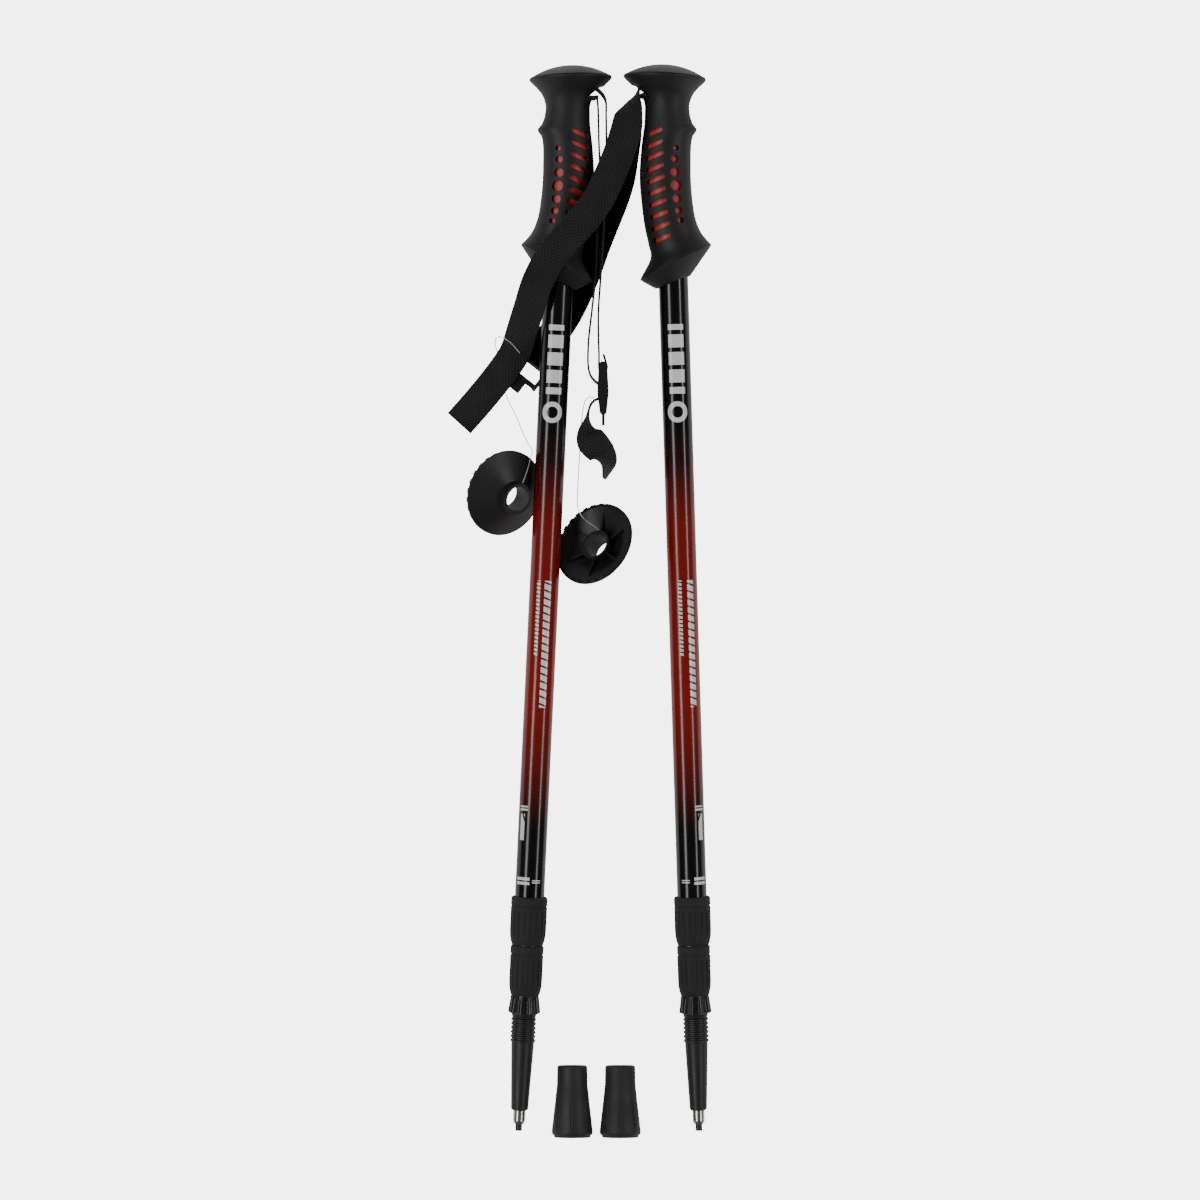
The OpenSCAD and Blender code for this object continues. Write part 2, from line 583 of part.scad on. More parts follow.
// Right strap: one strand crosses over the left grip, the other passes under the left tube
RIGHT_OVER = [
    [34.6, 307.2, 25, -6], [31.8, 302, 26.5, -25], [29.5, 294, 30, -60], [28.2, 284.6, 33.5, -84],
    [24, 270.7, 36, -90], [17.9, 255.5, 39.5, -90], [10.6, 240.4, 42.5, -90],
    [1.5, 228.2, 44, -90], [-8.8, 217.3, 44, -90], [-17.9, 205.8, 44, -90],
    [-25.4, 191.8, 40, -90], [-30.6, 176.6, 31.5, -90], [-35.2, 163.4, 20, -90],
    [-39.4, 151.6, 11.5, -90], [-47.2, 140, 7.4, -90], [-60.4, 123.8, 3.6, -90],
    [-73.8, 108.7, 1.5, -90]];
RIGHT_UNDER = [
    [33.2, 297.5, 20, 30], [29.5, 290, 16.5, 65], [28, 281, 12, 88], [26.5, 270.7, 8, 90],
    [24.6, 258.6, 4.5, 90], [20.9, 246.4, 2.4, 90], [16.1, 234.3, 1.3, 90], [10, 219.1, 1, 90],
    [4.6, 204, 1, 90], [-1.5, 188.8, 1, 90], [-8.2, 175.4, 1, 90], [-16.1, 163.3, 1, 90],
    [-24, 152.4, 1.1, 90], [-29.4, 145.7, 1.4, 90]];
// Clear nylon ties from each strap to a basket hub
LEFT_TIE = [
    [-36.5, 151, 14.8], [-42.5, 157.4, 17.2], [-49, 160.8, 15.2], [-51.6, 158, 8.5],
    [-50.2, 151, 4.5], [-49.4, 144, 1.6], [-48.6, 137, 0.8], [-46.6, 130, 0.6], [-43.4, 122, 0.6],
    [-38.5, 112, 0.6], [-34, 101, 0.8], [-29.8, 93.2, 3], [-29, 91.6, 9.5], [-29.4, 88.6, 16.5],
    [-31.2, 80.5, 26], [-33.4, 73.8, 30.6], [-34.4, 71.3, 30.2]];
RIGHT_TIE = [
    [9.6, 121, 24.4], [7.4, 123.6, 24.4], [4.2, 122.6, 21.6], [2.4, 118, 15.5], [1.2, 110, 10],
    [0.6, 101, 6.5], [0, 92, 4], [-0.4, 84, 2], [-0.9, 75.9, 2], [-1.2, 68.6, 9],
    [-1.4, 62.5, 22], [-1.2, 57.1, 33.5], [0.8, 52, 36.4], [4, 48.5, 31.4], [8.5, 45.5, 22.6],
    [11.6, 43.2, 17]];
tie_d = 0.6;
// Left buckle: bars along Z, at these places, with a side rail above and below the webbing
top_bar = [14.2, 142.6];
mid_bar = [14.2, 127];
low_bar = [14.4, 116];
rail_t = 2.2;
bar_r = 1.5;
web_mid_z = 12.5;
function wrap(bar, from, to) =
    let (r = bar_r + 0.3 + webbing_t / 2, n = 5)
    [for (k = [0 : n]) let (a = from + (to - from) * k / n) [bar[0] + r * cos(a), bar[1] + r * sin(a), web_mid_z, 0]];
function backwards(list) = [for (k = [len(list) - 1 : -1 : 0]) list[k]];

module strap_left() {
    color("#171717") webbing(concat(
        [[14.6, 150, web_mid_z, 0]], wrap(top_bar, 18, -180), backwards(LEFT_OUT),
        head_run(0, 1), pin_turn(0), backwards(head_run(0, -1)),
        LEFT_BACK, wrap(mid_bar, 46, -62), LEFT_TAIL), 3);
}
module strap_right() {
    color("#171717") webbing(concat(backwards(RIGHT_UNDER),
        head_run(1, -1), backwards(pin_turn(1)), backwards(head_run(1, 1)), RIGHT_OVER), 3);
}
// Ladder-lock buckle: two side rails joined by a top bar, a middle bar and a thumb lip.
// Built with bars along Z at the left buckle's places.
module ladder_lock() {
    gap_half = webbing_w / 2 + 0.5;
    color("#1f1f20") {
        for (side = [-1, 1]) translate([0, 0, web_mid_z + side * (gap_half + rail_t / 2)])
            linear_extrude(rail_t, center = true) hull() {
                translate(top_bar) circle(r = 2.7, $fn = 32);
                translate(mid_bar) circle(r = 3.5, $fn = 32);
                translate(low_bar) circle(r = 2.2, $fn = 32);
            }
        for (bar = [top_bar, mid_bar])
            translate([bar[0], bar[1], web_mid_z]) cylinder(r = bar_r, h = 2 * gap_half + 1, center = true);
        translate([low_bar[0] - 1.2, low_bar[1] - 1.6, web_mid_z - gap_half - 0.5])
            cube([2.4, 3.2, 2 * gap_half + 1]);
        translate([low_bar[0] - 0.9, low_bar[1] - 9, web_mid_z - 5]) cube([1.8, 9, 10]);
    }
}
// The right buckle is the same piece, lying flat under the end of its strap
module place_buckle(i) {
    if (i == 0) children();
    else translate([-29.4, 145.6, 3.7]) rotate([0, 0, -38]) rotate([0, -90, 0])
        translate([-mid_bar[0], -mid_bar[1], -web_mid_z]) children();
}
module strap(i) {
    if (i == 0) strap_left();
    else strap_right();
}
module tie(i) {
    color("#e8e8e8") wire(smooth(i == 0 ? LEFT_TIE : RIGHT_TIE, 4), tie_d);
}

// ---------------------------------------------------------------- the pair

for (i = [0, 1]) translate(CENTRE) {
    side = SIDES[i];
    place_pole(i) grip();
    place_pole(i) grip_core();
    place_pole(i) grip_cap();
    place_pole(i) strap_pin();
    strap(i);
    place_buckle(i) ladder_lock();
    place_pole(i) upper_tube();
    place_pole(i) guide_ring(upper_d, middle_d, upper_guide_s);
    place_pole(i) collar(upper_d, middle_d, upper_collar_s, upper_collar_len);
    place_pole(i) middle_tube();
    place_pole(i) guide_ring(middle_d, lower_d, middle_guide_s);
    place_pole(i) collar(middle_d, lower_d, middle_collar_s, middle_collar_len);
    place_pole(i) shock_plug();
    place_pole(i) shock_spring();
    place_pole(i) shock_plunger();
    place_pole(i) lock_sleeve(upper_in, upper_sleeve_s);
    place_pole(i) lock_cone(upper_in, upper_sleeve_s);
    place_pole(i) lower_tube();
    place_pole(i) lower_lock_screw();
    place_pole(i) lock_sleeve(middle_in, lower_sleeve_s);
    place_pole(i) lock_cone(middle_in, lower_sleeve_s);
    place_pole(i) flex_tip();
    place_pole(i) basket_stop();
    place_pole(i) ferrule();
    place_pole(i) carbide_tip();
    place_basket(i) basket();
    place_rubber(i) rubber_tip();
    place_rubber(i) tip_washer();
    tie(i);
}
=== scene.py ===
"""Visual model of a pair of collapsed trekking poles lying side by side on a floor.

Lengths in the dataclasses are millimetres, and every mesh is written in metres, in the row
frame: +Y towards the grips, +Z up. A pole's own frame has s = 0 at its tip, rising to the
grip, and +x towards the fingers.
"""

import logging
from dataclasses import dataclass, field
from enum import Enum

import bpy
import numpy as np
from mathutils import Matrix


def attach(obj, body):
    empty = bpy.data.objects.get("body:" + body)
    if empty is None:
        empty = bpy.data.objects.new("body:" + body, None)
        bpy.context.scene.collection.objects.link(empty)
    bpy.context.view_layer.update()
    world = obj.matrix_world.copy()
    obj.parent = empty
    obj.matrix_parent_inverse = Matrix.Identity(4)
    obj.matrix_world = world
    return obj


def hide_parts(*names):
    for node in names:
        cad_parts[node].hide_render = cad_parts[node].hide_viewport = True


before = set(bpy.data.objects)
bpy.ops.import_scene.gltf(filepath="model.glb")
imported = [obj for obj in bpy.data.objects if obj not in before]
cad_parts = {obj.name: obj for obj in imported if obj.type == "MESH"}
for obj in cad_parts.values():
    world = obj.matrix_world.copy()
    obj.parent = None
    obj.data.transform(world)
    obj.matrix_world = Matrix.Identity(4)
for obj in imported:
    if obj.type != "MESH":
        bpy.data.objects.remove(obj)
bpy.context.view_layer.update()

LOG = logging.getLogger("poles")
MM = 0.001
# Shift that puts the pair's box about the origin
CENTRE = np.array([0.2, 1.5, 0.0])
# Angle from which an edge that a cut left is rounded and shaded crisp
CRISP_DEG = 50.0
Stations = list[tuple[float, ...]]


class Side(Enum):
    """Which pole of the pair a piece belongs to."""

    LEFT = "left"
    RIGHT = "right"


class Relief(Enum):
    """Small-scale surface relief that a finish can carry."""

    NONE = "none"
    GRAIN = "grain"
    BRUSHED = "brushed"
    WOVEN = "woven"


# ------------------------------------------------------------------ curves and meshes


def smooth(points: np.ndarray, steps: int) -> np.ndarray:
    """Runs a smooth curve through the points.

    Each span is the cubic that passes through its two ends with slopes equal to half the
    chord between the neighbours on either side.

    Args:
        points: Array of shape (n, d).
        steps: Number of parts in each span.

    Returns:
        Array of shape ((n - 1) * steps + 1, d).
    """
    a = np.vstack([points[:1], points[:-2]])
    b, c = points[:-1], points[1:]
    d = np.vstack([points[2:], points[-1:]])
    t = (np.arange(steps) / steps)[None, :, None]
    a, b, c, d = (v[:, None, :] for v in (a, b, c, d))
    spans = 0.5 * (2 * b + (c - a) * t + (2 * a - 5 * b + 4 * c - d) * t**2
                   + (3 * b - a - 3 * c + d) * t**3)
    return np.vstack([spans.reshape(-1, points.shape[1]), points[-1:]])


def unit(v: np.ndarray) -> np.ndarray:
    """Vectors along the last axis, divided by their lengths.

    Args:
        v: Vectors, shape (..., n).

    Returns:
        Vectors of length 1, in the same shape.
    """
    return v / np.maximum(np.linalg.norm(v, axis=-1, keepdims=True), 1e-12)


def tangents(path: np.ndarray) -> np.ndarray:
    """Unit directions along a path, from each point's two neighbours.

    Args:
        path: Points, shape (n, 3).

    Returns:
        Directions, shape (n, 3).
    """
    return unit(np.gradient(path, axis=0))


def run_length(path: np.ndarray) -> float:
    """Length of a path, as the sum of its chords.

    Args:
        path: Points, shape (n, 3).

    Returns:
        The length, in the points' unit.
    """
    return float(np.linalg.norm(np.diff(path, axis=0), axis=1).sum())


def grid_object(name: str, grid: np.ndarray, uv: np.ndarray | None = None,
                sharp_deg: float = 40.0) -> bpy.types.Object:
    """Makes a closed tube-like mesh from rings of points.

    Row r of the grid is a closed ring. Rings r and r + 1 are joined by quads, and the first
    and last rings are filled by fans round their mean points.

    Args:
        name: Name of the new object.
        grid: Points in metres, shape (rings, sides, 3), rings counter-clockwise seen from
            the last ring.
        uv: Two numbers for each point, shape (rings, sides + 1, 2), for a woven pattern.
        sharp_deg: Edges sharper than this are kept crisp.

    Returns:
        The object, linked to the scene.
    """
    rows, sides = grid.shape[:2]
    verts = np.vstack([grid.reshape(-1, 3), grid[0].mean(0), grid[-1].mean(0)])
    k = np.arange(sides)
    nxt = (k + 1) % sides
    r = (np.arange(rows - 1) * sides)[:, None]
    quads = np.stack([r + k, r + nxt, r + sides + nxt, r + sides + k], -1).reshape(-1, 4)
    low, high = rows * sides, rows * sides + 1
    top = (rows - 1) * sides
    fans = np.vstack([np.stack([nxt, k, np.full(sides, low)], -1),
                      np.stack([top + k, top + nxt, np.full(sides, high)], -1)])
    mesh = bpy.data.meshes.new(name)
    mesh.from_pydata(verts.tolist(), [], quads.tolist() + fans.tolist())
    if uv is not None:
        corner = np.stack([uv[:-1, :-1], uv[:-1, 1:], uv[1:, 1:], uv[1:, :-1]], 2).reshape(-1, 2)
        ends = np.zeros((2 * sides * 3, 2))
        layer = mesh.uv_layers.new(name="cloth")
        layer.data.foreach_set("uv", np.vstack([corner, ends]).ravel())
    mesh.shade_smooth()
    mesh.set_sharp_from_angle(angle=np.radians(sharp_deg))
    obj = bpy.data.objects.new(name, mesh)
    bpy.context.scene.collection.objects.link(obj)
    return obj


def baked(obj: bpy.types.Object) -> None:
    """Replaces an object's mesh by the result of its modifiers, and drops them."""
    graph = bpy.context.evaluated_depsgraph_get()
    mesh = bpy.data.meshes.new_from_object(obj.evaluated_get(graph))
    obj.modifiers.clear()
    obj.data = mesh


@dataclass(frozen=True)
class PoleFrame:
    """Where a pole lies: its tip, its turn about the upright and its roll, as in the CAD."""

    tip_x: float
    yaw_deg: float
    fingers: int
    tip_y: float = -323.0
    stop_radius: float = 9.9
    stop_s: float = 72.8
    head_radius: float = 24.5
    head_s: float = 640.5

    @property
    def tilt(self) -> float:
        """Rise of the axis: arc tangent of head radius less stop radius over their span."""
        return float(np.arctan((self.head_radius - self.stop_radius)
                               / (self.head_s - self.stop_s)))

    @property
    def tip(self) -> np.ndarray:
        """The tip's place, in millimetres."""
        z = self.stop_radius * np.cos(self.tilt) - self.stop_s * np.sin(self.tilt)
        return np.array([self.tip_x, self.tip_y, z]) + CENTRE

    @property
    def axes(self) -> np.ndarray:
        """Rows: the finger direction, the side direction and the direction up the pole."""
        yaw, c, s = np.radians(self.yaw_deg), np.cos(self.tilt), np.sin(self.tilt)
        up = np.array([-np.sin(yaw) * c, np.cos(yaw) * c, s])
        fingers = self.fingers * np.array([np.cos(yaw), np.sin(yaw), 0.0])
        return np.stack([fingers, np.cross(up, fingers), up])

    def place(self, local: np.ndarray) -> np.ndarray:
        """Takes points from the pole's own frame to the row frame, still in millimetres.

        Args:
            local: Points in the pole's frame, shape (..., 3).

        Returns:
            The points in the row frame: local times the axes, plus the tip.
        """
        return local @ self.axes + self.tip


POLES = {Side.LEFT: PoleFrame(-37.3, -2.72, -1), Side.RIGHT: PoleFrame(72.8, 1.76, 1)}
# The head's rim along the pole, the strap slot's drop under it, and the strap pin's place
RIM_S = 641.5
SLOT_DROP = 9.0
PIN_X = -7.0


# ------------------------------------------------------------------ finishes


def linear(hex_colour: str) -> tuple[float, float, float, float]:
    """Turns an sRGB hex colour into linear red, green and blue, with alpha 1.

    A channel s up to 0.04045 becomes s / 12.92, and a larger one ((s + 0.055) / 1.055)^2.4.

    Args:
        hex_colour: The colour as #rrggbb.

    Returns:
        Red, green, blue and alpha.
    """
    s = np.array([int(hex_colour[k:k + 2], 16) for k in (1, 3, 5)]) / 255
    lin = np.where(s <= 0.04045, s / 12.92, ((s + 0.055) / 1.055) ** 2.4)
    return (*map(float, lin), 1.0)


def add(mat: bpy.types.Material, kind: str, inputs: dict | None = None,
        **settings: object) -> bpy.types.Node:
    """Adds a shader node.

    Args:
        mat: Material that the node goes in.
        kind: Node type, without the ShaderNode in front.
        inputs: Input name or number to a value or to another node's output.
        **settings: The node's own properties.

    Returns:
        The new node.
    """
    node = mat.node_tree.nodes.new("ShaderNode" + kind)
    for key, value in settings.items():
        setattr(node, key, value)
    for key, value in (inputs or {}).items():
        if isinstance(value, bpy.types.NodeSocket):
            mat.node_tree.links.new(value, node.inputs[key])
        else:
            node.inputs[key].default_value = value
    return node


def maths(mat: bpy.types.Material, what: str, a: object, b: object = 0.0,
          c: object = 0.0) -> bpy.types.NodeSocket:
    """Adds a Math node that works out `what` from a, b and c, and returns its output."""
    return add(mat, "Math", {0: a, 1: b, 2: c}, operation=what).outputs[0]


@dataclass(frozen=True)
class Finish:
    """A surface finish and the material it makes.

    The second colour is the one that noise moves the plain one towards: wear tone in most
    finishes, a painted yarn highlight in Webbing. `relief_mm` is the height of the relief, whose
    spacing is `pitch_mm`. The two noise scales are in cycles a metre.
    """

    name: str
    colour: str
    wear_and_highlight: str
    roughness: float
    metallic: float = 0.0
    ior: float = 1.5
    coat: float = 0.0
    relief: Relief = Relief.GRAIN
    pitch_mm: float = 0.6
    relief_mm: float = 0.03
    transmission: float = 0.0
    sheen: float = 0.0
    coat_roughness: float = 0.06
    tint_scale: float = 38.0
    smear_scale: float = 60.0
    smear_share: float = 0.12
    yarn_stretch: float = 0.72
    streak_stretch: float = 0.04

    def shader(self, mat: bpy.types.Material) -> bpy.types.Node:
        """Sets the constants of the main shader and returns it."""
        main = mat.node_tree.nodes["Principled BSDF"]
        for key, value in (("Metallic", self.metallic), ("Coat Weight", self.coat),
                           ("Coat Roughness", self.coat_roughness),
                           ("Sheen Weight", self.sheen),
                           ("Transmission Weight", self.transmission)):
            main.inputs[key].default_value = value
        if not self.metallic:
            main.inputs["IOR"].default_value = self.ior
        return main

    def height(self, mat: bpy.types.Material,
               place: bpy.types.NodeSocket) -> bpy.types.NodeSocket:
        """Relief as a number from 0 to 1.

        Grain is fine noise. Brushed is noise drawn out along the pole. Woven is the product
        of two sine waves, one along the cloth and one across it.
        """
        if self.relief is Relief.WOVEN:
            cloth = add(mat, "SeparateXYZ", {0: add(mat, "UVMap", uv_map="cloth").outputs[0]})
            turn = 2 * np.pi / self.pitch_mm
            across = maths(mat, "SINE", maths(mat, "MULTIPLY", cloth.outputs[0], turn))
            along = maths(mat, "SINE",
                          maths(mat, "MULTIPLY", cloth.outputs[1], turn * self.yarn_stretch))
            return maths(mat, "MULTIPLY_ADD", maths(mat, "MULTIPLY", across, along), 0.5, 0.5)
        if self.relief is Relief.BRUSHED:
            place = add(mat, "Mapping", {"Vector": place,
                                         "Scale": (1, self.streak_stretch, 1)}).outputs[0]
        return add(mat, "TexNoise", {"Vector": place, "Scale": 1000 / self.pitch_mm,
                                     "Detail": 3.0, "Roughness": 0.6}).outputs[0]

    def colouring(self, mat: bpy.types.Material, place: bpy.types.NodeSocket,
                  height: bpy.types.NodeSocket) -> bpy.types.NodeSocket:
        """Base colour: the plain one, moved towards the worn one by broad and fine noise."""
        broad = add(mat, "TexNoise", {"Vector": place, "Scale": self.tint_scale,
                                      "Detail": 4.0}).outputs[0]
        share = maths(mat, "MULTIPLY", broad, height)
        return add(mat, "Mix", {0: share, 6: linear(self.colour), 7: linear(self.wear_and_highlight)},
                   data_type="RGBA").outputs[2]

    def material(self) -> bpy.types.Material:
        """The material, made the first time and found again after that."""
        found = bpy.data.materials.get(self.name)
        if found:
            return found
        mat = bpy.data.materials.new(self.name)
        mat.use_nodes = True
        main = self.shader(mat)
        place = add(mat, "TexCoord").outputs["Object"]
        height = self.height(mat, place)
        links = mat.node_tree.links
        links.new(self.colouring(mat, place, height), main.inputs["Base Color"])
        smear = add(mat, "TexNoise", {"Vector": place, "Scale": self.smear_scale,
                                      "Detail": 3.0}).outputs[0]
        rough = add(mat, "MapRange", {"Value": smear, 1: 0.3, 2: 0.7,
                                      3: self.roughness * (1 - self.smear_share),
                                      4: self.roughness * (1 + self.smear_share)})
        links.new(rough.outputs[0], main.inputs["Roughness"])
        if self.relief is not Relief.NONE:
            bump = add(mat, "Bump", {"Height": height, "Distance": self.relief_mm * MM,
                                     "Strength": 1.0})
            links.new(bump.outputs[0], main.inputs["Normal"])
        return mat

    def dress(self, *names: str) -> None:
        """Gives this finish to CAD nodes.

        Args:
            *names: The nodes' names.
        """
        for name in names:
            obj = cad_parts[name]
            if not obj.material_slots:
                obj.data.materials.append(self.material())
            for slot in obj.material_slots:
                slot.material = self.material()


@dataclass(frozen=True)
class Webbing(Finish):
    """Black webbing with a painted highlight on the yarn tops and painted shade in the gaps."""

    contrast: float = 3.0

    def colouring(self, mat: bpy.types.Material, place: bpy.types.NodeSocket,
                  height: bpy.types.NodeSocket) -> bpy.types.NodeSocket:
        """Painted light: gap shade moved to yarn highlight by the height to a power."""
        # Painted light: the yarn tops get a painted highlight and the gaps painted shade, by
        # weave height
        highlight_share = maths(mat, "POWER", height, self.contrast)
        return add(mat, "Mix", {0: highlight_share, 6: linear(self.colour), 7: linear(self.wear_and_highlight)},
                   data_type="RGBA").outputs[2]


@dataclass(frozen=True)
class Mark:
    """A printed mark on a tube, in millimetres along the pole and round the tube.

    Slanting dashes fill the box from s0 to s1 and from u0 to u1. A ring is drawn instead
    where pitch is 0, with its middle in the box.
    """

    s0: float
    s1: float
    u0: float
    u1: float
    pitch: float
    share: float = 0.7
    slant: float = 0.25


@dataclass(frozen=True)
class TubePaint(Finish):
    """Gloss lacquer that fades from black to dark red and back along the tube, with print."""

    pole: PoleFrame = POLES[Side.LEFT]
    marks: tuple[Mark, ...] = ()
    print_colour: str = "#f2f3f3"
    radius: float = 9.0
    ring_inner: float = 0.55
    fade: tuple[tuple[float, str], ...] = (
        (160, "#030303"), (186, "#080303"), (226, "#70120c"), (262, "#8c150d"),
        (330, "#86140d"), (372, "#80140d"), (408, "#2c0806"), (430, "#030303"))

    def band(self, mat: bpy.types.Material, value: bpy.types.NodeSocket, low: float,
             high: float) -> bpy.types.NodeSocket:
        """1 where low < value < high, else 0."""
        return maths(mat, "MULTIPLY", maths(mat, "GREATER_THAN", value, low),
                     maths(mat, "LESS_THAN", value, high))

    def print_mask(self, mat: bpy.types.Material, s: bpy.types.NodeSocket,
                   u: bpy.types.NodeSocket) -> bpy.types.NodeSocket:
        """1 on a printed mark, else 0.

        Dashes: the fraction of (s + slant * u) / pitch is under the share. Ring: the distance
        from the box's middle lies between the inner share and the whole of half its width.
        """
        total: object = 0.0
        for m in self.marks:
            if m.pitch:
                wave = maths(mat, "MULTIPLY_ADD", u, m.slant, s)
                part = maths(mat, "FRACT", maths(mat, "DIVIDE", wave, m.pitch))
                ink = maths(mat, "LESS_THAN", part, m.share)
            else:
                ds = maths(mat, "SUBTRACT", s, (m.s0 + m.s1) / 2)
                du = maths(mat, "SUBTRACT", u, (m.u0 + m.u1) / 2)
                far = maths(mat, "SQRT", maths(mat, "ADD", maths(mat, "MULTIPLY", ds, ds),
                                               maths(mat, "MULTIPLY", du, du)))
                half = (m.u1 - m.u0) / 2
                ink = self.band(mat, far, self.ring_inner * half, half)
            box = maths(mat, "MULTIPLY", self.band(mat, s, m.s0, m.s1),
                        self.band(mat, u, m.u0, m.u1))
            total = maths(mat, "MAXIMUM", maths(mat, "MULTIPLY", box, ink), total)
        return total

    def colouring(self, mat: bpy.types.Material, place: bpy.types.NodeSocket,
                  height: bpy.types.NodeSocket) -> bpy.types.NodeSocket:
        """Fade along s, with print over it.

        s is the dot product of the point less the tip with the pole's direction. u is the
        angle round the tube from its upper side times the tube's radius.
        """
        from_tip = add(mat, "VectorMath", {0: place, 1: tuple(self.pole.tip * MM)},
                       operation="SUBTRACT").outputs[0]
        up = self.pole.axes[2]
        level = unit(np.array([up[1], -up[0], 0.0]))
        coords = [maths(mat, "MULTIPLY", add(mat, "VectorMath", {0: from_tip, 1: tuple(v)},
                                             operation="DOT_PRODUCT").outputs["Value"], 1000.0)
                  for v in (up, level, np.cross(level, up))]
        s = coords[0]
        u = maths(mat, "MULTIPLY", maths(mat, "ARCTAN2", coords[1], coords[2]), self.radius)
        low, high = self.fade[0][0], self.fade[-1][0]
        ramp = add(mat, "ValToRGB", {0: add(mat, "MapRange", {0: s, 1: low, 2: high}).outputs[0]})
        stops = ramp.color_ramp.elements
        stops[0].color, stops[-1].color = linear(self.fade[0][1]), linear(self.fade[-1][1])
        for at, colour in self.fade[1:-1]:
            stops.new((at - low) / (high - low)).color = linear(colour)
        return add(mat, "Mix", {0: self.print_mask(mat, s, u), 6: ramp.outputs[0],
                                7: linear(self.print_colour)}, data_type="RGBA").outputs[2]


# Soft-touch moulded rubber: black, dull, with a very fine grain
SOFT_RUBBER = Finish("soft_touch_rubber", "#121213", "#1f1f21", 0.56, pitch_mm=0.5,
                     relief_mm=0.025, sheen=0.05)
# Bright red moulded polypropylene seen through the vents
RED_CORE = Finish("red_polypropylene", "#c8362c", "#d9493c", 0.42, pitch_mm=0.9, relief_mm=0.01)
# Spark-eroded ABS of the cap: an even satin
CAP_ABS = Finish("satin_abs", "#0d0d0e", "#161618", 0.45, pitch_mm=0.8, relief_mm=0.02)
# Woven polyester webbing: painted highlight on the yarn tops, painted shade in the gaps
WEBBING = Webbing("woven_polyester_webbing", "#030303", "#2c2c2e", 0.8, relief=Relief.WOVEN,
                  pitch_mm=2.3, relief_mm=0.5, sheen=0.1)
# Moulded nylon of the buckle: smooth with soft highlights
NYLON = Finish("moulded_nylon", "#161617", "#242426", 0.32, pitch_mm=1.2, relief_mm=0.01)
# Collar rubber: dull, slightly greyer than the grip
COLLAR_RUBBER = Finish("collar_rubber", "#1c1c1d", "#2b2b2d", 0.5, pitch_mm=0.5, relief_mm=0.02)
# Flex tip: moulded plastic with a satin sheen
TIP_PLASTIC = Finish("satin_polyamide", "#1a1a1b", "#27272a", 0.46, pitch_mm=0.9,
                     relief_mm=0.012)
# Basket stop: polished black plastic
STOP_PLASTIC = Finish("polished_black_acetal", "#101011", "#19191a", 0.3, coat=0.15,
                      relief=Relief.NONE)
# Basket: dark grey moulded polyethylene
BASKET_PLASTIC = Finish("moulded_polyethylene", "#161617", "#252528", 0.44, pitch_mm=0.8,
                        relief_mm=0.02)
# Vulcanised rubber of the tip covers: dull and a little dusty
TIP_RUBBER = Finish("vulcanised_rubber", "#1d1d1e", "#323234", 0.6, pitch_mm=0.6, relief_mm=0.03)
# Nickel-plated steel of the ferrule
NICKEL = Finish("nickel_plated_steel", "#c9c7bf", "#a9a69c", 0.22, metallic=1.0,
                relief=Relief.BRUSHED, pitch_mm=0.4, relief_mm=0.01)
# Turned steel of pins, springs and screws
STEEL = Finish("turned_steel", "#a9abae", "#7d7f83", 0.32, metallic=1.0, relief=Relief.BRUSHED,
               pitch_mm=0.5, relief_mm=0.01)
# Sintered tungsten carbide: dark, fine-grained metal
CARBIDE = Finish("sintered_carbide", "#3c3d40", "#55565a", 0.4, metallic=1.0, pitch_mm=0.3,
                 relief_mm=0.01)
# Turned brass cones and plug
BRASS = Finish("turned_brass", "#b8924c", "#8f7038", 0.3, metallic=1.0, relief=Relief.BRUSHED,
               pitch_mm=0.5, relief_mm=0.01)
# Anodised aluminium of the inner tubes: silver with a soft drawn streak
ANODISED = Finish("anodised_aluminium", "#c3c6ca", "#a8abb0", 0.28, metallic=1.0,
                  relief=Relief.BRUSHED, pitch_mm=0.5, relief_mm=0.008)
# Natural nylon of the expander sleeves
SLEEVE_NYLON = Finish("natural_nylon", "#cfcabb", "#bdb7a5", 0.42, pitch_mm=0.8, relief_mm=0.01)
# Dark acetal guide rings
GUIDE_ACETAL = Finish("dark_acetal", "#3a3a3c", "#4a4a4d", 0.4, pitch_mm=0.8, relief_mm=0.01)
# Clear nylon filament of the ties
FILAMENT = Finish("clear_nylon_filament", "#e9ebec", "#ffffff", 0.18, ior=1.53,
                  transmission=0.55, relief=Relief.NONE)
# Gloss lacquer over the upper tubes; the print sits under the clear coat
LEFT_PAINT = TubePaint("gloss_lacquer_left", "#040405", "#040405", 0.2, ior=1.4, coat=0.4,
                       relief=Relief.NONE, pole=POLES[Side.LEFT], marks=(
                           Mark(449, 491, -4.6, 5.2, 10.6, 0.74, 0.0),
                           Mark(430, 446, -6.4, 6.4, 0.0),
                           Mark(259, 336, 0.4, 4.6, 4.6, 0.72, 0.35),
                           Mark(290, 336, -4.4, -2.2, 2.5, 0.6, 0.2),
                           Mark(196, 199, -9.5, -3.6, 2.2, 0.65, 0.0),
                           Mark(178, 194, -8.6, -5.4, 30, 0.9, 2.2),
                           Mark(151, 155.5, -9.5, -0.4, 2.9, 0.68, 0.0),
                           Mark(152, 154.5, 1.2, 6.6, 1.3, 0.5, 0.0)))
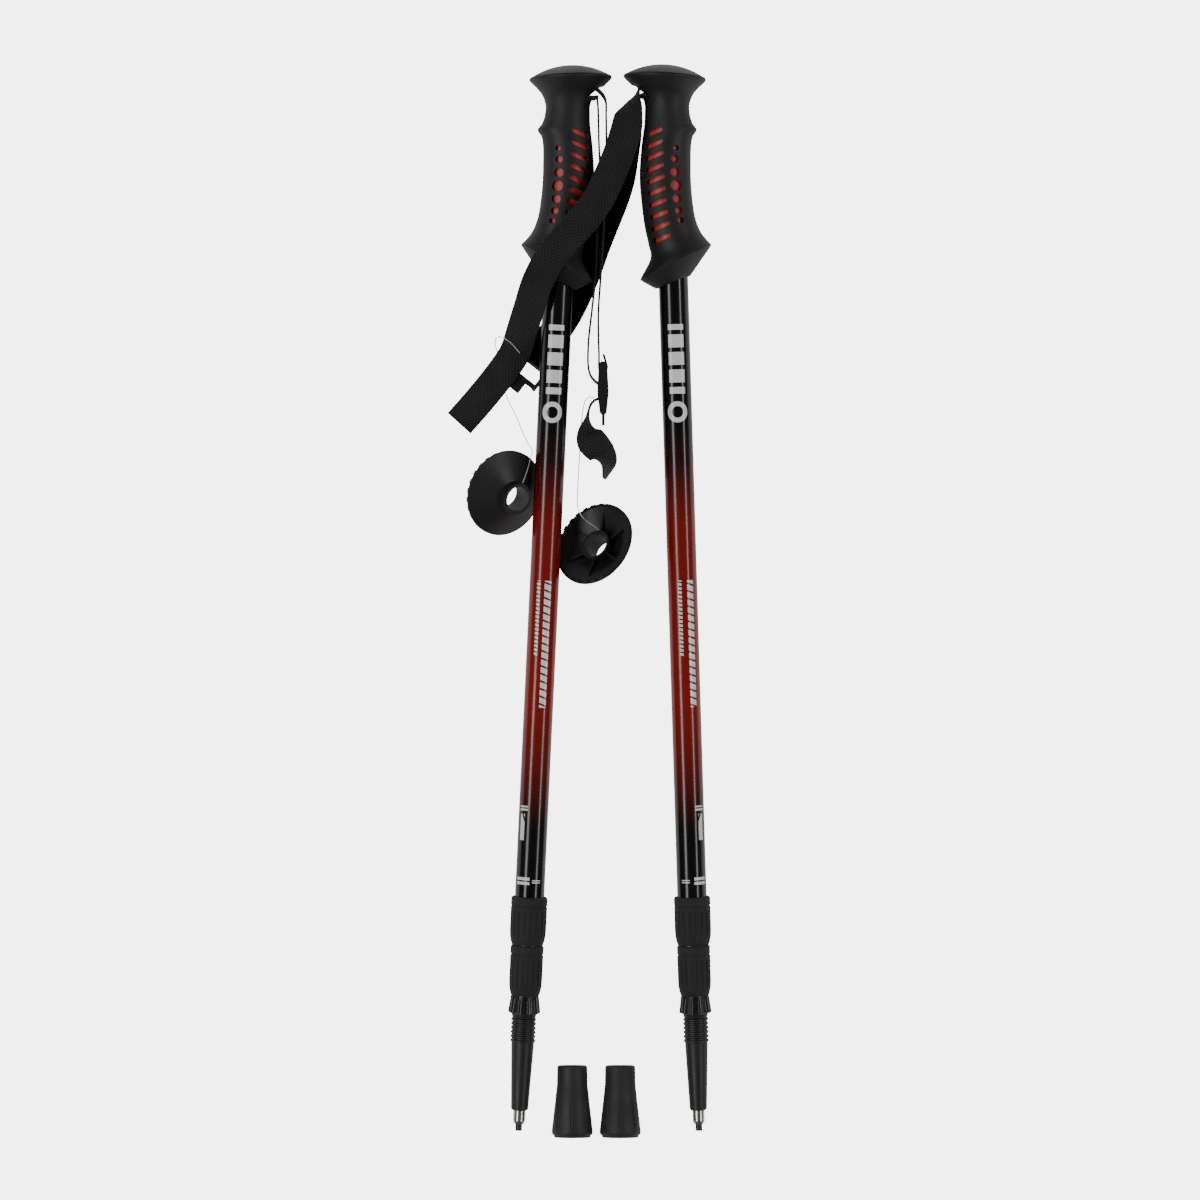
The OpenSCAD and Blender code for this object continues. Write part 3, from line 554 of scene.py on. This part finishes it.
RIGHT_PAINT = TubePaint("gloss_lacquer_right", "#040405", "#040405", 0.2, ior=1.4, coat=0.4,
                        relief=Relief.NONE, pole=POLES[Side.RIGHT], marks=(
                            Mark(449, 491, -4.6, 5.2, 10.6, 0.74, 0.0),
                            Mark(430, 446, -6.4, 6.4, 0.0),
                            Mark(259, 336, 2.6, 6.8, 4.6, 0.72, 0.35),
                            Mark(290, 336, -3.0, -0.8, 2.5, 0.6, 0.2),
                            Mark(196, 199, 3.6, 9.5, 2.2, 0.65, 0.0),
                            Mark(178, 194, 5.6, 8.8, 30, 0.9, -2.2),
                            Mark(151, 155.5, 1.6, 9.5, 2.9, 0.68, 0.0),
                            Mark(152, 154.5, -6.6, -1.2, 1.3, 0.5, 0.0)))


# ------------------------------------------------------------------ sub-assemblies


@dataclass
class Grip:
    """Moulded grip of one pole with the red core behind its vents.

    A station is front reach, front drop, back reach, back drop and half width, with drops
    measured down from the rim of the head.
    """

    side: Side
    sides: int = 112
    steps: int = 7
    skin: Stations = field(default_factory=lambda: [
        (23, 2, 26, -2, 24), (23.2, 3.8, 26.2, 0, 24.1), (19, 7.6, 21.5, 5, 20.2),
        (15.2, 12, 16.8, 10, 16.2), (13, 18, 14.3, 16, 13.8), (13.2, 24, 14.3, 22, 13.5),
        (14.6, 29, 14.8, 29, 13.6), (17, 33, 15.8, 35, 13.8), (14.5, 37, 16.6, 40, 13.9),
        (13.3, 43, 17.4, 46, 14), (12.8, 53, 18.3, 55, 14.2), (12.6, 64, 18.6, 65, 14.4),
        (13.2, 76, 17.9, 77, 14.5), (14.5, 86, 16.6, 90, 14.7), (17.2, 94, 14.6, 101, 15.2),
        (20.8, 99.3, 13.5, 110, 16.8), (23.4, 102.4, 19.6, 121.4, 19.6),
        (22.8, 104.4, 19, 123.6, 19), (10.6, 121, 10.8, 128.4, 10.8)])
    core: Stations = field(default_factory=lambda: [
        (13.6, 2.2, 13.6, 1.8, 13.6), (13.2, 8, 13.2, 8, 13.2), (10.9, 15, 11.8, 15, 11.4),
        (10.9, 24, 11.9, 24, 11.2), (12, 33, 13.3, 34, 11.4), (11, 44, 14.9, 46, 11.6),
        (10.3, 64, 16.2, 65, 12), (10.9, 77, 15.5, 77, 12.1), (11.9, 90, 13.6, 90, 12.3),
        (11.4, 104, 11.4, 104, 11.4), (10.7, 117, 10.7, 117, 10.7)])
    vent_d: tuple[float, ...] = (3.3, 4.6, 5.8, 6.8, 5.6, 4.5, 3.6)
    vent_reach: tuple[float, ...] = (3.9, 3, 2.7, 3.2, 3.6, 4.2, 5.4)
    vent_drop: tuple[float, ...] = (44.5, 51, 59, 67, 75, 82.2, 88.2)
    slot_count: int = 10
    slot_len: float = 11.5
    slot_width: float = 3.2
    slot_drop: float = 34.5
    slot_floor: float = 6.0
    slot_spacing: float = 7.1
    slot_slope_deg: float = 20.0
    slot_bow: float = 0.04
    slot_x: float = -9.6
    strap_slot: tuple[float, float] = (21.0, 9.0)
    strap_slot_reach: float = 40.0
    pin_room: float = 3.0
    lip: float = 0.35

    def loft(self, stations: Stations) -> np.ndarray:
        """Rings of the grip's skin or core, in the row frame, in metres.

        At angle a, a ring's point is half the reach times cos a from the middle of the two
        reaches, the half width times sin a to the side, and drops from the mean drop by half
        the drops' difference times cos a.
        """
        q = smooth(np.array(stations, float), self.steps)[::-1, :, None]
        a = np.linspace(0, 2 * np.pi, self.sides, endpoint=False)[None]
        front, front_drop, back, back_drop, half = (q[:, k] for k in range(5))
        x = (front - back) / 2 + (front + back) / 2 * np.cos(a)
        y = half * np.sin(a)
        s = RIM_S - (front_drop + back_drop) / 2 - (front_drop - back_drop) / 2 * np.cos(a)
        return POLES[self.side].place(np.stack([x, y, s], -1)) * MM

    def bar(self, outline: np.ndarray, start: float = 20.0, end: float = -20.0) -> np.ndarray:
        """A prism across the grip.

        Args:
            outline: Points (x, s) of the prism's section, in millimetres.
            start: Place of the first ring along the grip's side axis.
            end: Place of the last ring.

        Returns:
            A grid of two rings, in metres.
        """
        ring = np.stack([outline[:, 0], np.zeros(len(outline)), outline[:, 1]], -1)
        rings = np.stack([ring + (0, y, 0) for y in (start, end)])
        return POLES[self.side].place(rings) * MM

    def slot_outline(self, width: float, height: float, slope_deg: float,
                     n: int = 20) -> np.ndarray:
        """A long hole's outline: a circle whose halves are drawn apart, then turned.

        Args:
            width: Length of the hole along x.
            height: Diameter of its round ends.
            slope_deg: Turn of the whole outline.
            n: Number of points.

        Returns:
            Points (x, s), shape (n, 2).
        """
        a = np.linspace(0, 2 * np.pi, n, endpoint=False) + np.pi / n
        x = np.cos(a) * height / 2 + np.sign(np.cos(a)) * (width - height) / 2
        y = np.sin(a) * height / 2
        c, s = np.cos(np.radians(slope_deg)), np.sin(np.radians(slope_deg))
        return np.stack([x * c - y * s, x * s + y * c], -1)

    def cutters(self) -> list[np.ndarray]:
        """Grids of everything cut out of the grip: vents, palm slots and the strap slot."""
        vents = [self.bar(self.slot_outline(d, d, 0, 28) + (x, RIM_S - drop))
                 for d, x, drop in zip(self.vent_d, self.vent_reach, self.vent_drop)]
        k = np.arange(self.slot_count)
        middles = np.stack([self.slot_bow * k * k + self.slot_x,
                            RIM_S - self.slot_drop - self.slot_spacing * k], -1)
        shape = self.slot_outline(self.slot_len, self.slot_width, self.slot_slope_deg)
        slots = [self.bar(shape + m, *span) for m in middles
                 for span in ((20.0, self.slot_floor), (-self.slot_floor, -20.0))]
        width, height = self.strap_slot
        inner = PIN_X + self.pin_room + height / 2
        hole = (self.slot_outline(self.strap_slot_reach, height, 0)
                + (inner - self.strap_slot_reach / 2, RIM_S - SLOT_DROP))
        return vents + slots + [self.bar(hole, width / 2, -width / 2)]

    def build(self) -> list[bpy.types.Object]:
        """Makes the grip and its core, cuts the openings and rounds their edges."""
        name = self.side.value
        skin = grid_object(f"{name}_grip_skin", self.loft(self.skin))
        core = grid_object(f"{name}_grip_heart", self.loft(self.core))
        tools = [grid_object("cutter", g) for g in self.cutters()]
        for tool in tools:
            cut = skin.modifiers.new("cut", "BOOLEAN")
            cut.object, cut.operation, cut.solver = tool, "DIFFERENCE", "EXACT"
        hole = core.modifiers.new("cut", "BOOLEAN")
        hole.object, hole.operation, hole.solver = tools[-1], "DIFFERENCE", "EXACT"
        baked(skin)
        baked(core)
        for tool in tools:
            bpy.data.objects.remove(tool)
        round_off = skin.modifiers.new("rounded_edges", "BEVEL")
        round_off.width, round_off.segments = self.lip * MM, 2
        round_off.limit_method, round_off.angle_limit = "ANGLE", np.radians(CRISP_DEG)
        baked(skin)
        skin.data.set_sharp_from_angle(angle=np.radians(CRISP_DEG))
        for obj, finish, node, slot in ((skin, SOFT_RUBBER, "grip", "grip_rubber"),
                                        (core, RED_CORE, "grip_core", "core_red")):
            obj.data.materials.append(finish.material())
            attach(obj, f"{name}_upper")
            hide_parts(f"{name}_{node}")
        CAP_ABS.dress(f"{name}_grip_cap")
        STEEL.dress(f"{name}_strap_pin")
        return [skin, core]


@dataclass
class WristStrap:
    """Webbing loop of one pole, from its buckle through the head and back.

    Stations are x, y, z and lean, in millimetres and degrees: lean 0 stands the webbing on
    edge and 90 lays it flat.
    """

    side: Side
    before: Stations
    after: Stations
    first_near: int
    width: float = 19.0
    thickness: float = 1.3
    turn_r: float = 3.15
    edge_powers: tuple[float, float] = (0.55, 0.35)
    section_points: int = 28
    steps: int = 6
    length: float = field(init=False, default=0.0)

    def head(self) -> np.ndarray:
        """Stations inside the head: along one strand, round the pin, out along the other."""
        near = self.first_near
        a = np.radians(near * np.array([75, 38, 0, -38, -75]))
        strand = np.array([-16.5, -13, -9.5])
        x = np.concatenate([strand, PIN_X + self.turn_r * np.cos(a), strand[::-1]])
        s = np.concatenate([np.full(3, near), np.sin(a), np.full(3, -near)]) * self.turn_r
        local = np.stack([x, np.zeros_like(x), s + RIM_S - SLOT_DROP], -1)
        placed = POLES[self.side].place(local) - CENTRE
        return np.hstack([placed, np.zeros((len(x), 1))])

    def rings(self) -> tuple[np.ndarray, np.ndarray]:
        """The webbing's rings in metres, and its cloth coordinates in millimetres.

        At each point of the route the width runs along the upright, leaned over and made
        square to the route. The section is a long oval: both half axes times a small power
        of the cosine and the sine.
        """
        path = smooth(np.vstack([self.before, self.head(), self.after]), self.steps)
        line, lean = path[:, :3] + CENTRE, np.radians(path[:, 3:])
        along = tangents(line)
        flat = unit(np.cross(along, [0, 0, 1]))
        up = np.cos(lean) * [0, 0, 1] + np.sin(lean) * flat
        across = unit(up - (up * along).sum(1, keepdims=True) * along)
        thick = np.cross(along, across)
        a = np.linspace(0, 2 * np.pi, self.section_points, endpoint=False)
        side_power, face_power = self.edge_powers
        w = np.sign(np.cos(a)) * np.abs(np.cos(a)) ** side_power * self.width / 2
        t = np.sign(np.sin(a)) * np.abs(np.sin(a)) ** face_power * self.thickness / 2
        rings = (line[:, None] + w[None, :, None] * across[:, None]
                 + t[None, :, None] * thick[:, None])
        gone = np.concatenate([[0], np.cumsum(np.linalg.norm(np.diff(line, axis=0), axis=1))])
        w_round = np.append(w, w[0])
        uv = np.stack(np.broadcast_arrays(w_round[None], gone[:, None]), -1)
        self.length = float(gone[-1])
        return rings * MM, uv

    def build(self) -> list[bpy.types.Object]:
        name = self.side.value
        rings, uv = self.rings()
        band = grid_object(f"{name}_webbing", rings, uv)
        band.data.materials.append(WEBBING.material())
        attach(band, f"{name}_upper")
        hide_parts(f"{name}_strap")
        NYLON.dress(f"{name}_buckle")
        LOG.info("%s strap: %.0f mm of webbing", name, self.length)
        return [band]


@dataclass
class BasketTie:
    """Clear nylon thread that holds a basket to a strap."""

    side: Side
    route: Stations
    diameter: float = 0.6
    steps: int = 4

    def build(self) -> list[bpy.types.Object]:
        name = self.side.value
        line = (smooth(np.array(self.route, float), self.steps) + CENTRE) * MM
        curve = bpy.data.curves.new(f"{name}_nylon_tie", "CURVE")
        curve.dimensions, curve.use_fill_caps = "3D", True
        curve.bevel_depth, curve.bevel_resolution = self.diameter * MM / 2, 3
        spline = curve.splines.new("POLY")
        spline.points.add(len(line) - 1)
        spline.points.foreach_set("co", np.hstack([line, np.ones((len(line), 1))]).ravel())
        tie = bpy.data.objects.new(f"{name}_nylon_tie", curve)
        bpy.context.scene.collection.objects.link(tie)
        curve.materials.append(FILAMENT.material())
        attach(tie, "left_upper")
        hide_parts(f"{name}_tie")
        LOG.info("%s tie: %.0f mm of thread", name, run_length(line) / MM)
        return [tie]


@dataclass
class Shaft:
    """Tubes, collars, locks and lower end of one pole, kept from the CAD and finished."""

    side: Side
    paint: TubePaint

    def build(self) -> list[bpy.types.Object]:
        """Dresses the CAD nodes of the shaft."""
        name = self.side.value
        for finish, nodes in (
                (self.paint, ("upper_tube",)), (ANODISED, ("middle_tube", "lower_tube")),
                (COLLAR_RUBBER, ("upper_collar", "middle_collar")),
                (GUIDE_ACETAL, ("upper_guide", "middle_guide")),
                (BRASS, ("shock_plug", "upper_lock_cone", "lower_lock_cone")),
                (STEEL, ("shock_spring", "shock_plunger", "lower_lock_screw")),
                (SLEEVE_NYLON, ("upper_lock_sleeve", "lower_lock_sleeve")),
                (TIP_PLASTIC, ("flex_tip",)), (STOP_PLASTIC, ("basket_stop",)),
                (NICKEL, ("ferrule",)), (CARBIDE, ("carbide_tip",))):
            finish.dress(*(f"{name}_{node}" for node in nodes))
        return []


@dataclass
class LooseParts:
    """Mud basket and rubber tip cover of one pole, kept from the CAD and finished."""

    side: Side

    def build(self) -> list[bpy.types.Object]:
        """Dresses the basket, the tip cover and its washer."""
        name = self.side.value
        BASKET_PLASTIC.dress(f"{name}_basket")
        TIP_RUBBER.dress(f"{name}_rubber_tip")
        STEEL.dress(f"{name}_tip_washer")
        return []


@dataclass
class Studio:
    """Pale floor, soft lights and a camera straight above the pair.

    A soft box is its place, its turn about the pair's long axis, its size and its power in
    watts.
    """

    aim: tuple[float, float] = (0.0126, 0.0021)
    height: float = 2.4
    aim_height: float = 0.02
    view_width: float = 0.7284
    sensor: float = 36.0
    floor_size: float = 6.0
    floor_drop: float = 0.0003
    floor_glow: float = 5.0
    floor_fill: float = 0.3
    air_glow: float = 0.12
    boxes: tuple[tuple, ...] = (
        ("left_box", (-1.15, 0.0, 1.5), -37.0, (0.5, 2.4), 20.0),
        ("right_box", (1.35, 0.1, 1.2), 48.0, (0.3, 2.4), 12.0))

    def camera(self) -> None:
        """A long lens: focal length is sensor times distance over the width in view."""
        data = bpy.data.cameras.new("camera")
        data.sensor_width = self.sensor
        data.lens = self.sensor * self.height / self.view_width
        obj = bpy.data.objects.new("camera", data)
        obj.location = (*self.aim, self.height + self.aim_height)
        bpy.context.scene.collection.objects.link(obj)
        bpy.context.scene.camera = obj

    def floor(self) -> None:
        """A square floor just under the pair: bright to the camera, dim as a light."""
        half = self.floor_size / 2
        corners = np.array([[-half, -half], [half, -half], [half, half], [-half, half]])
        mesh = bpy.data.meshes.new("floor")
        mesh.from_pydata([(x, y, -self.floor_drop) for x, y in corners.tolist()], [],
                         [(0, 1, 2, 3)])
        floor = bpy.data.objects.new("floor", mesh)
        bpy.context.scene.collection.objects.link(floor)
        paper = bpy.data.materials.new("matt_paper")
        paper.use_nodes = True
        shader = paper.node_tree.nodes["Principled BSDF"]
        shader.inputs["Base Color"].default_value = linear("#f2f2f2")
        shader.inputs["Roughness"].default_value = 0.9
        shader.inputs["Specular IOR Level"].default_value = 0.1
        shader.inputs["Emission Color"].default_value = linear("#ffffff")
        seen = maths(paper, "MULTIPLY_ADD", add(paper, "LightPath", {}).outputs["Is Camera Ray"],
                     self.floor_glow - self.floor_fill, self.floor_fill)
        paper.node_tree.links.new(seen, shader.inputs["Emission Strength"])
        mesh.materials.append(paper)

    def light(self, name: str, place: tuple[float, float, float], turn_deg: float,
              size: tuple[float, float], watts: float) -> None:
        """An area light turned about the pair's long axis to face it."""
        data = bpy.data.lights.new(name, "AREA")
        data.shape, data.size, data.size_y, data.energy = "RECTANGLE", *size, watts
        obj = bpy.data.objects.new(name, data)
        obj.location = place
        obj.rotation_euler = (0, np.radians(turn_deg), 0)
        bpy.context.scene.collection.objects.link(obj)

    def build(self) -> list[bpy.types.Object]:
        """Sets up the camera, the floor, two long soft boxes and an even surround."""
        self.camera()
        self.floor()
        for box in self.boxes:
            self.light(*box)
        world = bpy.data.worlds.new("surround")
        world.use_nodes = True
        back = world.node_tree.nodes["Background"]
        back.inputs["Color"].default_value = linear("#f4f4f4")
        back.inputs["Strength"].default_value = self.air_glow
        bpy.context.scene.world = world
        return []


# ------------------------------------------------------------------ routes

# Middles of the left buckle's bars, radius of the webbing round them, and its height there
TOP_BAR, MID_BAR, BAR_WRAP, WEB_Z = (14.2, 142.6), (14.2, 127.0), 2.45, 12.5


def wrap(bar: tuple[float, float], start: float, end: float, n: int = 5) -> Stations:
    """Stations round a buckle's bar.

    Args:
        bar: Middle (x, y) of the bar.
        start: First angle, in degrees.
        end: Last angle, in degrees.
        n: Number of steps between them.

    Returns:
        The stations, at the radius of the webbing's wrap.
    """
    a = np.radians(np.linspace(start, end, n + 1))
    return [(bar[0] + BAR_WRAP * float(np.cos(t)), bar[1] + BAR_WRAP * float(np.sin(t)), WEB_Z, 0)
            for t in a]


LEFT_OUT = [
    (15.5, 304.1, 24, 0), (16.1, 293.2, 23.2, 0), (16.3, 276.2, 22, 0), (16.1, 258.6, 20.5, 0),
    (15.2, 240.4, 17.5, 0), (14.3, 222.2, 14.5, 0), (13.1, 200.9, 13, 0), (11.5, 177.9, 12.6, 0),
    (11.5, 160.9, 12.5, 0), (11.8, 149.3, 12.5, 0)]
LEFT_BACK = [
    (10.7, 304.1, 24, 0), (11.4, 294.4, 23.2, 0), (11.8, 276.2, 22, 0), (12.6, 258.6, 20.5, 0),
    (11.7, 240.4, 17.5, 0), (10.6, 222.2, 14.5, 0), (10, 200.9, 13, 0), (7.6, 177.9, 12.6, 0),
    (5.2, 154.8, 12.5, 0), (6.4, 137.8, 12.5, 0)]
LEFT_TAIL = [
    (7.6, 120.8, 12.5, 0), (4.6, 111.7, 12, 5), (3.9, 103.8, 11, 35), (7.6, 97.1, 10.2, 80),
    (13.7, 90.4, 7, 60), (16.7, 82.6, 9.4, 25), (14.9, 74.7, 9.8, 5)]
RIGHT_OVER = [
    (34.6, 307.2, 25, -6), (31.8, 302, 26.5, -25), (29.5, 294, 30, -60), (28.2, 284.6, 33.5, -84),
    (24, 270.7, 36, -90), (17.9, 255.5, 39.5, -90), (10.6, 240.4, 42.5, -90),
    (1.5, 228.2, 44, -90), (-8.8, 217.3, 44, -90), (-17.9, 205.8, 44, -90),
    (-25.4, 191.8, 40, -90), (-30.6, 176.6, 31.5, -90), (-35.2, 163.4, 20, -90),
    (-39.4, 151.6, 11.5, -90), (-47.2, 140, 7.4, -90), (-60.4, 123.8, 3.6, -90),
    (-73.8, 108.7, 1.5, -90)]
RIGHT_UNDER = [
    (33.2, 297.5, 20, 30), (29.5, 290, 16.5, 65), (28, 281, 12, 88), (26.5, 270.7, 8, 90),
    (24.6, 258.6, 4.5, 90), (20.9, 246.4, 2.4, 90), (16.1, 234.3, 1.3, 90), (10, 219.1, 1, 90),
    (4.6, 204, 1, 90), (-1.5, 188.8, 1, 90), (-8.2, 175.4, 1, 90), (-16.1, 163.3, 1, 90),
    (-24, 152.4, 1.1, 90), (-29.4, 145.7, 1.4, 90)]
LEFT_TIE = [
    (-36.5, 151, 14.8), (-42.5, 157.4, 17.2), (-49, 160.8, 15.2), (-51.6, 158, 8.5),
    (-50.2, 151, 4.5), (-49.4, 144, 1.6), (-48.6, 137, 0.8), (-46.6, 130, 0.6), (-43.4, 122, 0.6),
    (-38.5, 112, 0.6), (-34, 101, 0.8), (-29.8, 93.2, 3), (-29, 91.6, 9.5), (-29.4, 88.6, 16.5),
    (-31.2, 80.5, 26), (-33.4, 73.8, 30.6), (-34.4, 71.3, 30.2)]
RIGHT_TIE = [
    (9.6, 121, 24.4), (7.4, 123.6, 24.4), (4.2, 122.6, 21.6), (2.4, 118, 15.5), (1.2, 110, 10),
    (0.6, 101, 6.5), (0, 92, 4), (-0.4, 84, 2), (-0.9, 75.9, 2), (-1.2, 68.6, 9),
    (-1.4, 62.5, 22), (-1.2, 57.1, 33.5), (0.8, 52, 36.4), (4, 48.5, 31.4), (8.5, 45.5, 22.6),
    (11.6, 43.2, 17)]


def main() -> None:
    """Builds the sub-assemblies in order."""
    left_strap = WristStrap(
        Side.LEFT, before=[(14.6, 150, WEB_Z, 0)] + wrap(TOP_BAR, 18, -180) + LEFT_OUT[::-1],
        after=LEFT_BACK + wrap(MID_BAR, 46, -62) + LEFT_TAIL, first_near=1)
    right_strap = WristStrap(Side.RIGHT, before=RIGHT_UNDER[::-1], after=RIGHT_OVER,
                             first_near=-1)
    assemblies = [Studio(), BasketTie(Side.LEFT, LEFT_TIE), BasketTie(Side.RIGHT, RIGHT_TIE),
                  left_strap, right_strap, Grip(Side.LEFT), Grip(Side.RIGHT),
                  Shaft(Side.LEFT, LEFT_PAINT), Shaft(Side.RIGHT, RIGHT_PAINT),
                  LooseParts(Side.LEFT), LooseParts(Side.RIGHT)]
    for assembly in assemblies:
        made = assembly.build()
        LOG.info("%s: %s", type(assembly).__name__, ", ".join(o.name for o in made) or "finishes")
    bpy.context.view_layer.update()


if __name__ == "__main__":
    logging.basicConfig(level=logging.INFO)
    main()
